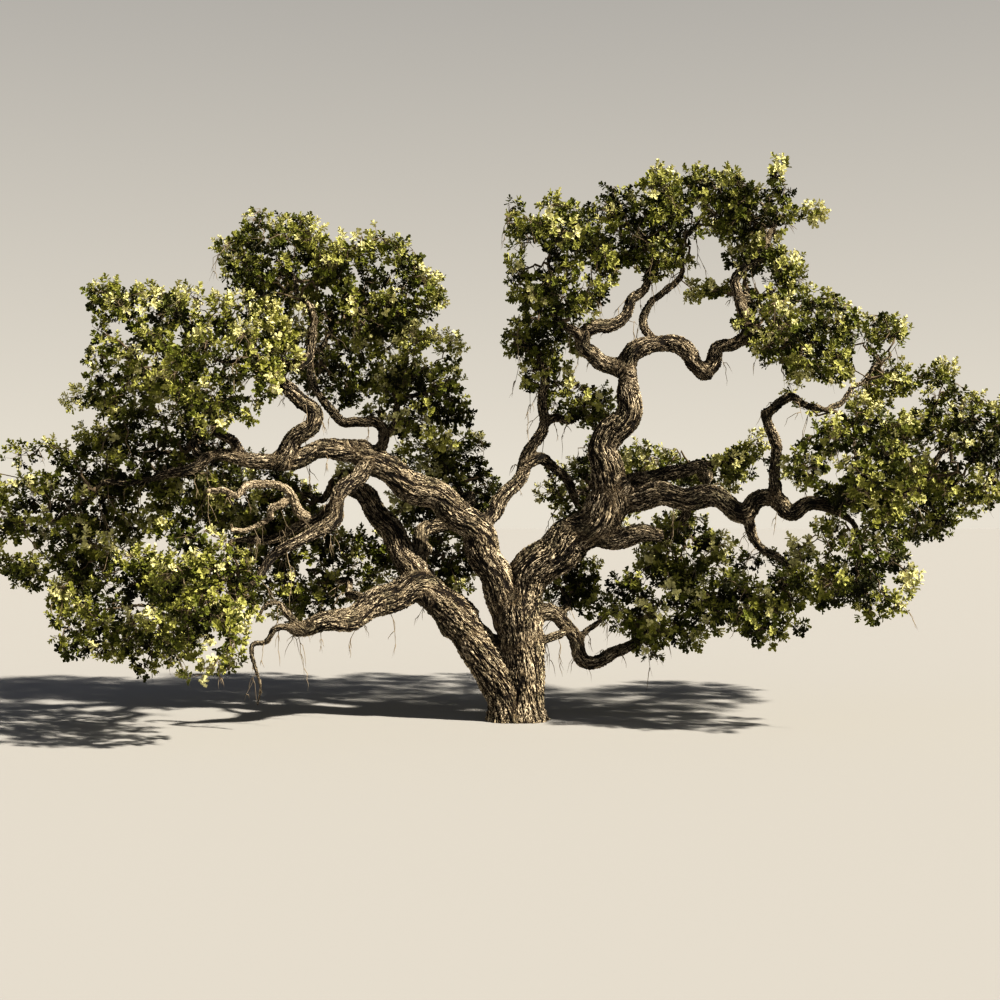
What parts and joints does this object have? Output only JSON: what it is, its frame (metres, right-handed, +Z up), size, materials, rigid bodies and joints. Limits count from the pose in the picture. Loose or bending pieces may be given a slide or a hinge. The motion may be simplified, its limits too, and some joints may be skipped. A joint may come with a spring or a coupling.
{
  "type": "oak tree",
  "caption": "Broad old open-grown oak with a short forked trunk, crooked spreading boughs and a gappy crown, cut flat at the ground.",
  "frame": {"origin": "in the flat cut under the trunk, at ground level, near the middle of the trunk's foot", "axes": "+Z up, +X to the right and +Y away when the tree is seen from the side its picture shows"},
  "size_m": [19.9314, 10.1116, 11.3086],
  "materials": {
    "bark": "deeply furrowed grey-brown bark, matt",
    "dead_wood": "weathered pale dead wood, matt",
    "leaves": "leathery olive green leaves, slightly glossy"
  },
  "bodies": {
    "root": {"trunk": "bark", "bough_left_low": "bark", "bough_left_rise": "bark", "bough_left_back": "bark", "bough_left_high": "bark", "bough_left_reach": "bark", "bough_left_crook": "bark", "bough_left_hook": "bark", "bough_left_drop": "bark", "bough_left_under": "bark", "bough_left_pale": "dead_wood", "bough_centre": "bark", "bough_centre_arch": "bark", "bough_right": "bark", "bough_right_rise": "bark", "bough_right_arch": "bark", "bough_right_swing": "bark", "bough_right_crown": "bark", "bough_right_fork": "bark", "bough_right_reach": "bark", "bough_right_post": "bark", "bough_right_shelf": "bark", "bough_right_drop": "bark", "bough_right_spur": "bark", "bough_right_back": "bark", "bough_low": "bark", "foliage_left_far": "leaves", "foliage_left_skirt": "leaves", "foliage_left_skirt_front": "leaves", "foliage_left_mid": "leaves", "foliage_left_upper": "leaves", "foliage_left_front": "leaves", "foliage_left_top": "leaves", "foliage_left_top_right": "leaves", "foliage_left_inner": "leaves", "foliage_left_shoulder": "leaves", "foliage_left_low": "leaves", "foliage_left_back": "leaves", "foliage_centre_back": "leaves", "foliage_centre_low": "leaves", "foliage_centre_right_back": "leaves", "foliage_right_top_left": "leaves", "foliage_right_top_mid": "leaves", "foliage_right_top": "leaves", "foliage_right_top_edge": "leaves", "foliage_right_edge_low": "leaves", "foliage_right_centre": "leaves", "foliage_right_inner": "leaves", "foliage_right_shoulder": "leaves", "foliage_right_knob": "leaves", "foliage_right_mid": "leaves", "foliage_right_far": "leaves", "foliage_right_far_back": "leaves", "foliage_right_back": "leaves", "foliage_right_under": "leaves", "foliage_right_skirt": "leaves", "foliage_right_skirt_mid": "leaves", "foliage_right_low": "leaves", "foliage_low_inner": "leaves"}
  },
  "joints": []
}
